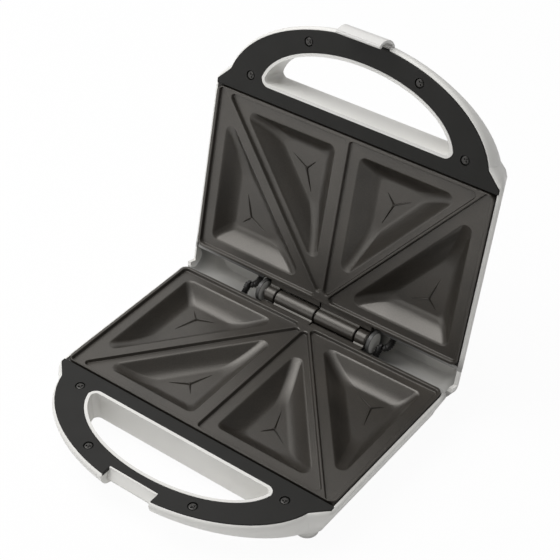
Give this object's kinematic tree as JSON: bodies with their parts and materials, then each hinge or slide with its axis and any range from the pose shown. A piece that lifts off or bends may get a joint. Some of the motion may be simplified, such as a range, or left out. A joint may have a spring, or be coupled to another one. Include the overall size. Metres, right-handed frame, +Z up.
{
  "type": "sandwich toaster",
  "caption": "Two-slice sandwich toaster standing open, with triangular cooking pockets, looped front handles, a rear hinge and a clip latch.",
  "frame": {"origin": "centre of the bounding box of the open toaster, on the surface that its feet stand on", "axes": "+X along the hinge to the right seen from the handles, +Y to the rear, +Z up"},
  "size_m": [0.2262, 0.2615, 0.2313],
  "materials": {
    "housing": "satin",
    "handle_cover": "matte",
    "dark_screw": "satin",
    "coated_plate": "satin",
    "heater_tube": "satin",
    "sheet_tray": "satin",
    "steel": "satin",
    "foot": "matte",
    "ceramic": "matte",
    "lead_sleeve": "matte",
    "red_lens": "gloss",
    "green_lens": "gloss",
    "lamp_glass": "gloss",
    "clip": "satin"
  },
  "bodies": {
    "base": {"base_casing": "housing", "base_handle_cover": "handle_cover", "base_cover_screws": "dark_screw", "base_plate": "coated_plate", "base_heater": "heater_tube", "base_reflector": "sheet_tray", "base_plate_screws": "steel", "feet": "foot", "outlet_bush": "housing", "thermostat": "ceramic", "thermal_fuse": "ceramic", "terminal_block": "ceramic", "left_sleeve_base": "lead_sleeve", "right_sleeve_base": "lead_sleeve"},
    "lid": {"lid_casing": "housing", "lid_handle_cover": "handle_cover", "lid_cover_screws": "dark_screw", "lid_plate": "coated_plate", "lid_heater": "heater_tube", "lid_reflector": "sheet_tray", "lid_plate_screws": "steel", "hinge_pin": "steel", "left_sleeve_lid": "lead_sleeve", "right_sleeve_lid": "lead_sleeve", "power_lens": "red_lens", "ready_lens": "green_lens", "power_lamp": "lamp_glass", "ready_lamp": "lamp_glass", "lamp_holder": "ceramic", "latch_pin": "steel"},
    "latch": {"latch": "clip"}
  },
  "joints": [
    {"name": "lid_hinge", "type": "hinge", "parent": "base", "child": "lid", "pos_m": [0, 0.07082, 0.0294], "axis": [1, 0, 0], "range_deg": [0, 104]},
    {"name": "latch_hinge", "type": "hinge", "parent": "lid", "child": "latch", "pos_m": [0, 0.12556, 0.22084], "axis": [1, 0, 0], "range_deg": [-10, 25]}
  ]
}
